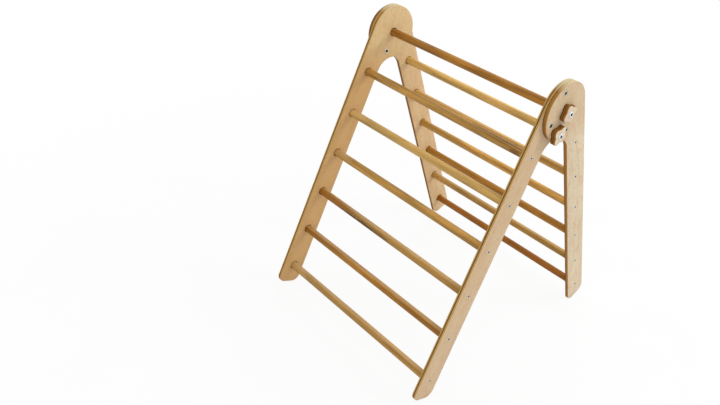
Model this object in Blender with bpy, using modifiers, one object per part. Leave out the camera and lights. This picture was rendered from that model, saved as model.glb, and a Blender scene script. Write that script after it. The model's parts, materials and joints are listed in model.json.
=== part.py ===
"""Folding climbing triangle for small children.

Two ladders with plywood side panels and round rungs turn on one axis at their round heads.
The rear ladder's panels stand outside the front ladder's. A scalloped knob on each side clamps
the heads together on the axis, and a second one locks the opening angle through a ring of holes.
X runs along the rungs, the front ladder leans towards -Y, and Z is up from the floor.
"""
import math

import bmesh
import bpy

# Main sizes in metres
sheet_thickness = 0.012
rung_diameter = 0.025
inner_width = 0.652
head_radius = 0.085
leg_width = 0.083
arch_radius = 0.060
foot_corner_radius = 0.025
edge_chamfer = 0.0012
part_gap = 0.0003
head_gap = 0.0004
weld_distance = 0.00001

# Rungs and their sockets
pivot_to_rung_length = 0.1455
rung_pitch = 0.142
rungs_below_head = 6
foot_length = 0.0645
socket_depth = 0.005
socket_chamfer = 0.0014

# Rung screws
screw_head_diameter = 0.0097
screw_head_depth = 0.0024
screw_shank_diameter = 0.005
screw_length = 0.038
screw_tip_length = 0.004
screw_tip_share = 0.25
screw_sink_depth = 0.0002

# Lock holes, their bushings and the sleeve nuts of the front heads
lock_circle_radius = 0.064
bushing_flange_diameter = 0.014
bushing_flange_thickness = 0.001
bushing_barrel_diameter = 0.0104
nut_head_diameter = 0.014
nut_head_thickness = 0.0018
nut_barrel_diameter = 0.0104
nut_bore_depth = 0.0085

# Knobs and bolts
knob_mean_radius = 0.0248
knob_lobe_depth = 0.0039
knob_lobes = 4
knob_thickness = 0.015
knob_chamfer = 0.0011
bolt_diameter = 0.008
bolt_head_diameter = 0.016
bolt_head_thickness = 0.0025
bolt_head_chamfer = 0.0007
bolt_length_in_rung = 0.025
hex_width = 0.006
hex_depth = 0.0015

# Angles in degrees
opening_angle = 45.0
lock_angles = {
    "folded": 0.0,
    "standing": opening_angle,
    "wide": 2 * opening_angle,
    "flat": 180.0,
}
pivot_knob_turns = {"right": 51.5, "left": 20.0}
lock_knob_turns = {"right": 32.5, "left": 60.0}
sharp_angle = 40.0

# Facets
head_facets = 32
arch_facets = 9
corner_facets = 8
rung_facets = 16
hole_facets = 12
screw_facets = 10
facets_per_lobe = 10
hex_facets = 6

# Sizes that follow
half_angle = math.radians(opening_angle / 2)
quarter_turn = math.pi / 2
rung_radius = rung_diameter / 2
socket_radius = rung_radius + part_gap
socket_floor = socket_depth + part_gap
pilot_radius = screw_shank_diameter / 2 + part_gap
bolt_hole_radius = bolt_diameter / 2 + part_gap
leg_inner_line = head_radius - leg_width
rung_line = head_radius - leg_width / 2
front_inner_x = inner_width / 2
rear_inner_x = front_inner_x + sheet_thickness + head_gap
rear_outer_x = rear_inner_x + sheet_thickness
knob_inner_x = rear_outer_x + part_gap
knob_outer_x = knob_inner_x + knob_thickness
bolt_seat_x = knob_outer_x + part_gap
pivot_to_last_rung_length = pivot_to_rung_length + (rungs_below_head - 1) * rung_pitch
corner_centre = pivot_to_last_rung_length + foot_length - foot_corner_radius
corner_drop = corner_centre * math.cos(half_angle)
corner_lift = (leg_inner_line + foot_corner_radius) * math.sin(half_angle)
pivot_height = corner_drop - corner_lift + foot_corner_radius
cutter_overrun = sheet_thickness / 4
hands = {"left": -1.0, "right": 1.0}

# Colours
left_panel_colour = (0.68, 0.49, 0.29)
right_panel_colour = (0.76, 0.62, 0.45)
knob_colour = (0.66, 0.46, 0.26)
zinc_colour = (0.62, 0.65, 0.68)
front_rung_colours = [
    (0.24, 0.12, 0.04),
    (0.40, 0.24, 0.10),
    (0.50, 0.34, 0.16),
    (0.38, 0.22, 0.10),
    (0.34, 0.20, 0.09),
    (0.36, 0.20, 0.08),
    (0.38, 0.24, 0.10),
]
rear_rung_colours = [
    (0.48, 0.30, 0.13),
    (0.30, 0.16, 0.06),
    (0.40, 0.24, 0.10),
    (0.26, 0.12, 0.05),
    (0.34, 0.18, 0.08),
    (0.24, 0.10, 0.03),
]


def clear_scene():
    """Remove every object that the start-up file holds."""
    for item in list(bpy.data.objects):
        bpy.data.objects.remove(item, do_unlink=True)


def new_collection(name):
    """Add a collection to the scene and return it."""
    made = bpy.data.collections.new(name)
    bpy.context.scene.collection.children.link(made)
    return made


def colour_as(item, colour, metallic, roughness):
    """Give a piece its own Principled material of one colour."""
    made = bpy.data.materials.new(item.name + "_finish")
    made.use_nodes = True
    shader = made.node_tree.nodes["Principled BSDF"]
    shader.inputs["Base Color"].default_value = (*colour, 1.0)
    shader.inputs["Metallic"].default_value = metallic
    shader.inputs["Roughness"].default_value = roughness
    item.data.materials.append(made)


def wood(item, colour):
    """Give a piece a dull wood material."""
    colour_as(item, colour, 0.0, 0.6)


def zinc(item):
    """Give a piece a bright plated steel material."""
    colour_as(item, zinc_colour, 1.0, 0.3)


def place(name, data, collection, parent, location, rotation):
    """Make an object, hang it on its parent and place it."""
    made = bpy.data.objects.new(name, data)
    collection.objects.link(made)
    made.parent = parent
    made.location = location
    made.rotation_euler = rotation
    return made


def facing(hand):
    """Return the rotation that points a piece's local Z along +X or -X."""
    return (0.0, hand * quarter_turn, 0.0)


def turned(name, profile, facets, collection, parent, location, rotation, closed=False):
    """Make a piece turned about its local Z; the profile lists (radius, height), top to bottom.

    An open profile begins and ends on the axis. A closed one is the section of a ring.
    """
    points = [(radius, 0.0, height) for radius, height in profile]
    edges = [(index, index + 1) for index in range(len(points) - 1)]
    if closed:
        edges.append((len(points) - 1, 0))
    mesh = bpy.data.meshes.new(name)
    mesh.from_pydata(points, edges, [])
    made = place(name, mesh, collection, parent, location, rotation)
    turn = made.modifiers.new("turn", "SCREW")
    turn.axis = "Z"
    turn.steps = facets
    turn.render_steps = facets
    turn.use_merge_vertices = True
    turn.merge_threshold = weld_distance
    return made


def plate_mesh(name, outline, thickness, chamfer):
    """Return a flat plate with chamfered edges; the outline lies in its middle plane."""
    curve = bpy.data.curves.new(name, "CURVE")
    curve.dimensions = "2D"
    curve.fill_mode = "BOTH"
    curve.extrude = thickness / 2 - chamfer
    curve.bevel_depth = chamfer
    curve.bevel_resolution = 0
    curve.offset = -chamfer
    spline = curve.splines.new("POLY")
    spline.points.add(len(outline) - 1)
    for point, (x, y) in zip(spline.points, outline):
        point.co = (x, y, 0.0, 1.0)
    spline.use_cyclic_u = True
    blank = bpy.data.objects.new(name, curve)
    bpy.context.scene.collection.objects.link(blank)
    depsgraph = bpy.context.evaluated_depsgraph_get()
    mesh = bpy.data.meshes.new_from_object(blank.evaluated_get(depsgraph))
    bpy.data.objects.remove(blank)
    work = bmesh.new()
    work.from_mesh(mesh)
    bmesh.ops.remove_doubles(work, verts=work.verts, dist=weld_distance)
    bmesh.ops.recalc_face_normals(work, faces=work.faces)
    work.to_mesh(mesh)
    work.free()
    return mesh


def prism_mesh(name, radius, bottom, top, facets):
    """Return a straight round or six-sided prism between two heights."""
    mesh = bpy.data.meshes.new(name)
    work = bmesh.new()
    bmesh.ops.create_cone(
        work, cap_ends=True, segments=facets, radius1=radius, radius2=radius, depth=top - bottom
    )
    bmesh.ops.translate(work, verts=work.verts, vec=(0.0, 0.0, (top + bottom) / 2))
    work.to_mesh(mesh)
    work.free()
    return mesh


def cut(target, cutter):
    """Subtract a cutter from a piece, show it as wire only and keep it out of the part."""
    cutter.hide_render = True
    cutter.display_type = "WIRE"
    step = target.modifiers.new(cutter.name, "BOOLEAN")
    step.operation = "DIFFERENCE"
    step.solver = "EXACT"
    step.object = cutter


def repeat_down_leg(item, hand):
    """Repeat a cutter at every rung of one leg."""
    step = item.modifiers.new("rungs", "ARRAY")
    step.count = rungs_below_head
    step.use_relative_offset = False
    step.use_constant_offset = True
    step.constant_offset_displace = (hand * rung_pitch, 0.0, 0.0)


def arc(centre, radius, start, stop, facets):
    """Return points of an arc, both ends included, angles from the first axis to the second."""
    points = []
    for index in range(facets + 1):
        angle = start + (stop - start) * index / facets
        points.append((centre[0] + radius * math.cos(angle), centre[1] + radius * math.sin(angle)))
    return points


def panel_outline():
    """Return a side panel's outline: s runs down the leg from the pivot, t towards its outer edge."""
    arch_t = leg_inner_line - arch_radius
    arch_s = math.sqrt((head_radius + arch_radius) ** 2 - arch_t ** 2)
    arch_bearing = math.atan2(arch_t, arch_s)
    outer_corner = (corner_centre, head_radius - foot_corner_radius)
    inner_corner = (corner_centre, leg_inner_line + foot_corner_radius)
    points = arc((0.0, 0.0), head_radius, quarter_turn, 2 * math.pi + arch_bearing, head_facets)
    points += arc((arch_s, arch_t), arch_radius, math.pi + arch_bearing, quarter_turn, arch_facets)[1:]
    points += arc(inner_corner, foot_corner_radius, -quarter_turn, 0.0, corner_facets)
    points += arc(outer_corner, foot_corner_radius, 0.0, quarter_turn, corner_facets)
    return points


def knob_outline(turn):
    """Return the scalloped outline of a knob, one wave for each lobe."""
    points = []
    count = knob_lobes * facets_per_lobe
    for index in range(count):
        angle = 2 * math.pi * index / count
        radius = knob_mean_radius + knob_lobe_depth * math.cos(knob_lobes * angle)
        points.append((radius * math.cos(angle + turn), radius * math.sin(angle + turn)))
    return points


def socket_profile():
    """Return the cutter of a blind rung socket with a chamfered mouth; height 0 is the inner face."""
    return [
        (0.0, socket_floor),
        (socket_radius, socket_floor),
        (socket_radius, socket_chamfer),
        (socket_radius + socket_chamfer + cutter_overrun, -cutter_overrun),
        (0.0, -cutter_overrun),
    ]


def screw_hole_profile():
    """Return the cutter of a countersunk screw hole; height 0 is the panel's inner face."""
    slope = (screw_head_diameter - screw_shank_diameter) / 2 / screw_head_depth
    mouth = screw_head_diameter / 2 + part_gap + slope * (screw_sink_depth + cutter_overrun)
    return [
        (0.0, sheet_thickness + cutter_overrun),
        (mouth, sheet_thickness + cutter_overrun),
        (pilot_radius, sheet_thickness - screw_sink_depth - screw_head_depth),
        (pilot_radius, 0.0),
        (0.0, 0.0),
    ]


def bushing_hole_profile():
    """Return the cutter of a lock hole: a barrel hole and the flange's seat in the outer face."""
    barrel = bushing_barrel_diameter / 2 + part_gap
    flange = bushing_flange_diameter / 2 + part_gap
    seat = sheet_thickness - bushing_flange_thickness - part_gap
    return [
        (0.0, sheet_thickness + cutter_overrun),
        (flange, sheet_thickness + cutter_overrun),
        (flange, seat),
        (barrel, seat),
        (barrel, -cutter_overrun),
        (0.0, -cutter_overrun),
    ]


def rung_profile(reach, bore_radius, bore_depth):
    """Return a rung as long as twice its reach, bored in both ends."""
    floor = reach - bore_depth
    upper = [(0.0, floor), (bore_radius, floor), (bore_radius, reach), (rung_radius, reach)]
    lower = [(radius, -height) for radius, height in reversed(upper)]
    return upper + lower


def screw_profile():
    """Return a countersunk wood screw; height 0 is the top of its head."""
    shank = screw_shank_diameter / 2
    return [
        (0.0, 0.0),
        (screw_head_diameter / 2, 0.0),
        (shank, -screw_head_depth),
        (shank, screw_tip_length - screw_length),
        (shank * screw_tip_share, -screw_length),
        (0.0, -screw_length),
    ]


def bolt_profile(seat_to_end):
    """Return a bolt with a flat round head; height 0 is where the head sits."""
    radius = bolt_diameter / 2
    head = bolt_head_diameter / 2
    return [
        (0.0, bolt_head_thickness),
        (head - bolt_head_chamfer, bolt_head_thickness),
        (head, bolt_head_thickness - bolt_head_chamfer),
        (head, 0.0),
        (radius, 0.0),
        (radius, -seat_to_end),
        (0.0, -seat_to_end),
    ]


def nut_profile():
    """Return a sleeve nut: its head lies below height 0, the panel's inner face, its barrel above."""
    barrel = nut_barrel_diameter / 2
    head = nut_head_diameter / 2
    end = sheet_thickness - part_gap
    return [
        (0.0, end - nut_bore_depth),
        (bolt_hole_radius, end - nut_bore_depth),
        (bolt_hole_radius, end),
        (barrel, end),
        (barrel, -part_gap),
        (head, -part_gap),
        (head, -part_gap - nut_head_thickness),
        (0.0, -part_gap - nut_head_thickness),
    ]


def bushing_profile():
    """Return the section of a flanged bushing; height 0 is the panel's outer face."""
    barrel = bushing_barrel_diameter / 2
    flange = bushing_flange_diameter / 2
    end = part_gap - sheet_thickness
    return [
        (flange, 0.0),
        (flange, -bushing_flange_thickness),
        (barrel, -bushing_flange_thickness),
        (barrel, end),
        (bolt_hole_radius, end),
        (bolt_hole_radius, 0.0),
    ]


def rung_place(index):
    """Return (s, t) of a rung below the head, counted from 0."""
    return pivot_to_rung_length + index * rung_pitch, rung_line


def lock_place(degrees):
    """Return (s, t) of a lock hole; the angle runs from the leg towards the inside of the triangle."""
    angle = math.radians(degrees)
    return lock_circle_radius * math.cos(angle), -lock_circle_radius * math.sin(angle)


def ladder_axis(name, collection, tilt):
    """Return the empty that carries one ladder on the fold axis."""
    return place(name, None, collection, None, (0.0, 0.0, pivot_height), (tilt, 0.0, 0.0))


def build_panel(label, side, hand_name, inner_x, axis, collection, cutters):
    """Build a side panel with its rung sockets and screw holes; side is the Y sign of its outer edge."""
    hand = hands[hand_name]
    name = label + "_panel_" + hand_name
    mesh = plate_mesh(name, panel_outline(), sheet_thickness, edge_chamfer)
    location = (hand * (inner_x + sheet_thickness / 2), 0.0, 0.0)
    down_leg = (0.0, quarter_turn, quarter_turn - side * quarter_turn)
    panel = place(name, mesh, collection, axis, location, down_leg)
    wood(panel, left_panel_colour if hand_name == "left" else right_panel_colour)
    s, t = rung_place(0)
    first_rung = (hand * inner_x, side * t, -s)
    for kind, profile, facets in (
        ("_sockets", socket_profile(), rung_facets),
        ("_screw_holes", screw_hole_profile(), screw_facets),
    ):
        cutter = turned(name + kind, profile, facets, cutters, axis, first_rung, facing(hand))
        repeat_down_leg(cutter, hand)
        cut(panel, cutter)
    return panel


def bore_round_hole(panel, label, radius, location, hand, axis, cutters):
    """Cut a plain round hole through a panel."""
    top = sheet_thickness + cutter_overrun
    mesh = prism_mesh(panel.name + label, radius, -cutter_overrun, top, hole_facets)
    cut(panel, place(panel.name + label, mesh, cutters, axis, location, facing(hand)))


def build_front_head(panel, hand_name, axis, collection, cutters):
    """Cut a front head's pivot socket and nut hole, and seat the sleeve nut of the lock bolt."""
    hand = hands[hand_name]
    centre = (hand * front_inner_x, 0.0, 0.0)
    socket_name = panel.name + "_pivot_socket"
    cut(panel, turned(socket_name, socket_profile(), rung_facets, cutters, axis, centre, facing(hand)))
    bore_round_hole(panel, "_pivot_hole", bolt_hole_radius, centre, hand, axis, cutters)
    s, t = lock_place(lock_angles["folded"])
    location = (hand * front_inner_x, -t, -s)
    nut_hole_radius = nut_barrel_diameter / 2 + part_gap
    bore_round_hole(panel, "_nut_hole", nut_hole_radius, location, hand, axis, cutters)
    name = "lock_nut_" + hand_name
    nut = turned(name, nut_profile(), hole_facets, collection, axis, location, facing(hand))
    zinc(nut)
    cut_hex_socket(nut, -part_gap - nut_head_thickness, axis, location, hand, cutters)


def build_rear_head(panel, hand_name, axis, collection, cutters):
    """Cut a rear head's pivot hole and its ring of lock holes, and seat their bushings."""
    hand = hands[hand_name]
    centre = (hand * rear_inner_x, 0.0, 0.0)
    bore_round_hole(panel, "_pivot_hole", bolt_hole_radius, centre, hand, axis, cutters)
    for label, degrees in lock_angles.items():
        s, t = lock_place(degrees)
        name = panel.name + "_lock_hole_" + label
        inner = (hand * rear_inner_x, t, -s)
        profile = bushing_hole_profile()
        cut(panel, turned(name, profile, hole_facets, cutters, axis, inner, facing(hand)))
        name = "lock_bushing_" + hand_name + "_" + label
        outer = (hand * rear_outer_x, t, -s)
        profile = bushing_profile()
        zinc(turned(name, profile, hole_facets, collection, axis, outer, facing(hand), closed=True))


def build_rungs(label, side, inner_x, first_number, colours, axis, collection):
    """Build the rungs below the head and the two screws that hold each one."""
    reach = inner_x + socket_depth
    wood_outside_socket = sheet_thickness - socket_depth
    bore_depth = screw_length + screw_sink_depth - wood_outside_socket + part_gap
    for index in range(rungs_below_head):
        number = str(index + first_number)
        s, t = rung_place(index)
        name = label + "_rung_" + number
        profile = rung_profile(reach, pilot_radius, bore_depth)
        location = (0.0, side * t, -s)
        rung = turned(name, profile, rung_facets, collection, axis, location, facing(1.0))
        wood(rung, colours[index])
        for hand_name, hand in hands.items():
            name = label + "_screw_" + hand_name + "_" + number
            location = (hand * (inner_x + sheet_thickness - screw_sink_depth), side * t, -s)
            zinc(turned(name, screw_profile(), screw_facets, collection, axis, location, facing(hand)))


def build_head_rung(axis, collection):
    """Build the front ladder's top rung, which lies on the fold axis and takes both pivot bolts."""
    profile = rung_profile(front_inner_x + socket_depth, bolt_hole_radius, bolt_length_in_rung + part_gap)
    location = (0.0, 0.0, 0.0)
    rung = turned("front_rung_1", profile, rung_facets, collection, axis, location, facing(1.0))
    wood(rung, front_rung_colours[0])


def cut_hex_socket(item, face_height, parent, location, hand, cutters):
    """Sink a hexagon socket in a fastener's head, whose face lies at a height on its local Z."""
    across_corners = hex_width / 2 / math.cos(math.pi / hex_facets)
    name = item.name + "_socket"
    bottom = face_height - hex_depth
    mesh = prism_mesh(name, across_corners, bottom, face_height + hex_depth, hex_facets)
    cut(item, place(name, mesh, cutters, parent, location, facing(hand)))


def build_knob(label, hand_name, axis, centre, seat_to_end, turn, collection, cutters):
    """Build a scalloped knob and the bolt that is fast in it."""
    hand = hands[hand_name]
    y, z = centre
    name = label + "_knob_" + hand_name
    mesh = plate_mesh(name, knob_outline(math.radians(turn)), knob_thickness, knob_chamfer)
    middle = (hand * (knob_inner_x + knob_thickness / 2), y, z)
    knob = place(name, mesh, collection, axis, middle, facing(hand))
    wood(knob, knob_colour)
    reach = knob_thickness / 2 + cutter_overrun
    mesh = prism_mesh(name + "_hole", bolt_hole_radius, -reach, reach, hole_facets)
    cut(knob, place(name + "_hole", mesh, cutters, axis, middle, facing(hand)))
    name = label + "_bolt_" + hand_name
    seat = (hand * bolt_seat_x, y, z)
    profile = bolt_profile(seat_to_end)
    bolt = turned(name, profile, hole_facets, collection, axis, seat, facing(hand))
    zinc(bolt)
    cut_hex_socket(bolt, bolt_head_thickness, axis, seat, hand, cutters)


def build_knobs(front, rear, collection, cutters):
    """Build the knobs and bolts of both sides: on the fold axis and in the standing lock hole."""
    pivot_reach = bolt_seat_x - front_inner_x - socket_depth + bolt_length_in_rung
    lock_reach = bolt_seat_x - rear_inner_x - part_gap
    s, t = lock_place(lock_angles["standing"])
    for hand_name in hands:
        turn = pivot_knob_turns[hand_name]
        build_knob("pivot", hand_name, front, (0.0, 0.0), pivot_reach, turn, collection, cutters)
        turn = lock_knob_turns[hand_name]
        build_knob("lock", hand_name, rear, (t, -s), lock_reach, turn, collection, cutters)


def apply_and_shade(collection):
    """Apply every piece's modifiers and shade its round faces smooth, its edges sharp."""
    depsgraph = bpy.context.evaluated_depsgraph_get()
    pieces = [item for item in collection.objects if item.type == "MESH"]
    meshes = [bpy.data.meshes.new_from_object(item.evaluated_get(depsgraph)) for item in pieces]
    for item, mesh in zip(pieces, meshes):
        item.modifiers.clear()
        item.data = mesh
        mesh.name = item.name
        mesh.shade_smooth()
        mesh.set_sharp_from_angle(angle=math.radians(sharp_angle))


def build():
    """Build the whole climbing triangle."""
    clear_scene()
    collection = new_collection("climbing_triangle")
    cutters = new_collection("climbing_triangle_cutters")
    front = ladder_axis("front_ladder_axis", collection, -half_angle)
    rear = ladder_axis("rear_ladder_axis", collection, half_angle)
    for hand_name in hands:
        panel = build_panel("front", -1.0, hand_name, front_inner_x, front, collection, cutters)
        build_front_head(panel, hand_name, front, collection, cutters)
        panel = build_panel("rear", 1.0, hand_name, rear_inner_x, rear, collection, cutters)
        build_rear_head(panel, hand_name, rear, collection, cutters)
    build_head_rung(front, collection)
    build_rungs("front", -1.0, front_inner_x, 2, front_rung_colours[1:], front, collection)
    build_rungs("rear", 1.0, rear_inner_x, 1, rear_rung_colours, rear, collection)
    build_knobs(front, rear, collection, cutters)
    apply_and_shade(collection)


build()
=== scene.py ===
"""Finishes the folding climbing triangle: fine wooden and metal pieces, their materials and a stage.

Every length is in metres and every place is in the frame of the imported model: X runs along the
rungs, the front ladder leans towards -Y, and Z is up from the floor.
"""
import json
import math
from collections import namedtuple

import bmesh
import bpy
from mathutils import Matrix, Vector


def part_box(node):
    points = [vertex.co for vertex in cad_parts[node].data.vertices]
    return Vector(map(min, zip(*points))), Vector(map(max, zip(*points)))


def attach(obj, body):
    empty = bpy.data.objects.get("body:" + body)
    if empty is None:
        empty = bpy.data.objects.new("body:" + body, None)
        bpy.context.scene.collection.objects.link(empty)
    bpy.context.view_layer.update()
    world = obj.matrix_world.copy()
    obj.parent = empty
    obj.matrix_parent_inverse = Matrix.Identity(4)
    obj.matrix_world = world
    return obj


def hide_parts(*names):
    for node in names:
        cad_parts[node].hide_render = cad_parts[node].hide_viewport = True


bl_info = {
    "name": "Climbing Triangle",
    "version": (1, 0, 0),
    "blender": (4, 5, 0),
    "location": "3D View > Sidebar > Triangle",
    "description": "Builds a folding climbing triangle of birch plywood and oiled rungs",
    "category": "Object",
}

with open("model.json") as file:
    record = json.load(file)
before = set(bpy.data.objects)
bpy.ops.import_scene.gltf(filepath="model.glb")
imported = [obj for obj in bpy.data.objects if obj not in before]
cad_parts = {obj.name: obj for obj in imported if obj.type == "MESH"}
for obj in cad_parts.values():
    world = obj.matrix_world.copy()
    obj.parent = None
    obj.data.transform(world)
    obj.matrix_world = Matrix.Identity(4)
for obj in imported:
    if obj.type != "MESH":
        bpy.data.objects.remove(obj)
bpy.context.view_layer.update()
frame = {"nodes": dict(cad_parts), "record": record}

behaviour = frame["record"]["behaviour"]
body_of = {node: body for body, nodes in behaviour["bodies"].items() for node in nodes}

quarter_turn = math.pi / 2
full_turn = 2 * math.pi
along_rungs = Vector((1.0, 0.0, 0.0))
weld_distance = 0.000002
rim_tolerance = 0.00001
hands = {"left": -1.0, "right": 1.0}
ladders = {"front": -1.0, "rear": 1.0}

head_steps = 96
round_steps = 64
small_steps = 32
knob_steps = 144
board_rounding_steps = 3
fine_rounding_steps = 4
smooth_angle = math.radians(40.0)

# A facet belongs to a sheet's face where its normal has at least this share along the thickness
face_slope = 0.9

# Which material of a piece the cut faces take: a board's third one, a metal piece's second one, which
# holds the painted shade of its recesses
drilled_slot = 2
recess_shade_slot = 1

# Where the first panel lies in the pattern of its wood, the step from one panel or rung to the
# next, and the turn of the cross from one screw to the next
first_sheet_seed = 1.0
sheet_seed_step = 1.7
rung_seed_step = 3.1
screw_turn_step = 0.65


def middle(node):
    """Return the middle of a node's box."""
    low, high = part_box(node)
    return (low + high) / 2


def extent(node):
    """Return the size of a node's box along X, Y and Z."""
    low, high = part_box(node)
    return high - low


def ends(low, high):
    """Return the hand of a box, and the X of its inner and its outer end."""
    if low.x + high.x > 0:
        return hands["right"], low.x, high.x
    return hands["left"], high.x, low.x


def off_axis(point, centre):
    """Return how far a point lies from the line along X through a centre."""
    return math.hypot(point.y - centre.y, point.z - centre.z)


pivot = middle("front_rung_1")


def length(name, description, default):
    """Return a property that holds a length."""
    return bpy.props.FloatProperty(name=name, description=description, default=default, unit="LENGTH")


def power_property(name, description, default):
    """Return a property that holds a lamp's power."""
    return bpy.props.FloatProperty(
        name=name, description=description, default=default, unit="POWER", min=0.0
    )


def place_property(name, description, default):
    """Return a property that holds a place in the room."""
    return bpy.props.FloatVectorProperty(
        name=name, description=description, default=default,
        subtype="TRANSLATION", unit="LENGTH", size=3,
    )


def tint(name, description, default):
    """Return a property that holds a linear colour."""
    return bpy.props.FloatVectorProperty(
        name=name, description=description, default=default, subtype="COLOR", size=3, min=0.0, max=1.0
    )


class TriangleSizes(bpy.types.PropertyGroup):
    """Sizes of the fine pieces."""

    opening_angle: bpy.props.FloatProperty(
        name="Opening Angle",
        description="Angle between the two ladders in the lock hole for standing",
        default=math.radians(45.0),
        subtype="ANGLE",
    )
    head_radius: length("Head Radius", "Radius of the panels' round heads", 0.085)
    leg_width: length("Leg Width", "Width of the panels' legs", 0.083)
    arch_radius: length("Arch Radius", "Radius of the arch under each head", 0.060)
    foot_corner_radius: length("Foot Radius", "Radius of the rounded foot corners", 0.025)
    edge_rounding: length("Edge Rounding", "How far the sheet's edges are rounded", 0.0008)
    socket_clearance: length("Socket Clearance", "Gap between a rung and its socket", 0.0003)
    socket_depth: length("Socket Depth", "How deep the rungs sit in the panels", 0.0053)
    socket_chamfer: length("Socket Chamfer", "Width of the chamfer round a socket", 0.0015)
    rung_rounding: length("Rung Rounding", "Rounding of the rungs' ends", 0.0010)
    screw_hole_diameter: length("Screw Hole", "Diameter of the pilot holes", 0.0056)
    bolt_hole_diameter: length("Bolt Hole", "Diameter of the bolts' clearance holes", 0.0086)
    bolt_diameter: length("Bolt", "Diameter of the bolts' shanks", 0.008)
    screw_shank_diameter: length("Screw Shank", "Diameter of the screws' shanks", 0.005)
    screw_head_depth: length("Screw Head Depth", "Depth of the countersunk heads", 0.0024)
    screw_head_rim: length("Screw Head Rim", "Height of the rim of a screw head", 0.00025)
    screw_point_length: length("Screw Point", "Length of the screws' points", 0.004)
    cross_width: length("Cross Width", "Width of the arms of the cross recess", 0.0040)
    cross_reach: length("Cross Reach", "Reach of the cross recess from its middle", 0.0040)
    cross_depth: length("Cross Depth", "Depth of the cross recess", 0.0022)
    screw_seat_gap: length("Screw Seat Gap", "Gap round a screw's head in its seat", 0.0004)
    knob_mean_radius: length("Knob Radius", "Mean radius of the scalloped knobs", 0.0248)
    knob_lobe_depth: length("Lobe Depth", "Swing of the scallops about the mean radius", 0.0039)
    knob_lobes: bpy.props.IntProperty(
        name="Lobes", description="Number of lobes of a knob", default=4, min=2
    )
    knob_rounding: length("Knob Rounding", "Rounding of the knobs' edges", 0.0008)
    bolt_head_depth: length("Bolt Head Depth", "Height of the bolt heads", 0.0025)
    bolt_head_rounding: length("Bolt Head Rounding", "Rounding of the bolt heads", 0.0008)
    bolt_tip: length("Bolt Tip", "Width of the chamfer at a bolt's tip", 0.0006)
    sleeve_diameter: length("Sleeve", "Outer diameter of the sleeve nuts and the bushings", 0.0104)
    nut_head_depth: length("Nut Head Depth", "Height of the sleeve nuts' heads", 0.0018)
    nut_head_rounding: length("Nut Head Rounding", "Rounding of the sleeve nuts' heads", 0.0006)
    nut_bore_depth: length("Nut Bore", "Depth of the bore of a sleeve nut", 0.0085)
    flange_depth: length("Flange Depth", "Thickness of the bushings' flanges", 0.001)
    flange_rounding: length("Flange Rounding", "Rounding of the bushings' flanges", 0.0003)
    flange_seat_depth: length("Flange Seat", "Depth of the seats of the bushings' flanges", 0.0013)
    head_rung_bore_depth: length("Head Rung Bore", "Depth of the bolt bores in the top rung", 0.026)
    rung_bore_depth: length("Rung Bore", "Depth of the pilot bores in the other rungs", 0.032)
    hex_width: length("Hexagon", "Width across the flats of the hexagon sockets", 0.006)
    hex_depth: length("Hexagon Depth", "Depth of the hexagon sockets", 0.0020)
    hex_mouth_depth: length("Hexagon Mouth Depth", "Depth of the widened mouth", 0.0007)
    hex_mouth_scale: bpy.props.FloatProperty(
        name="Hexagon Mouth Scale", description="Width of the mouth against the socket's",
        default=1.6, min=1.0,
    )


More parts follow.
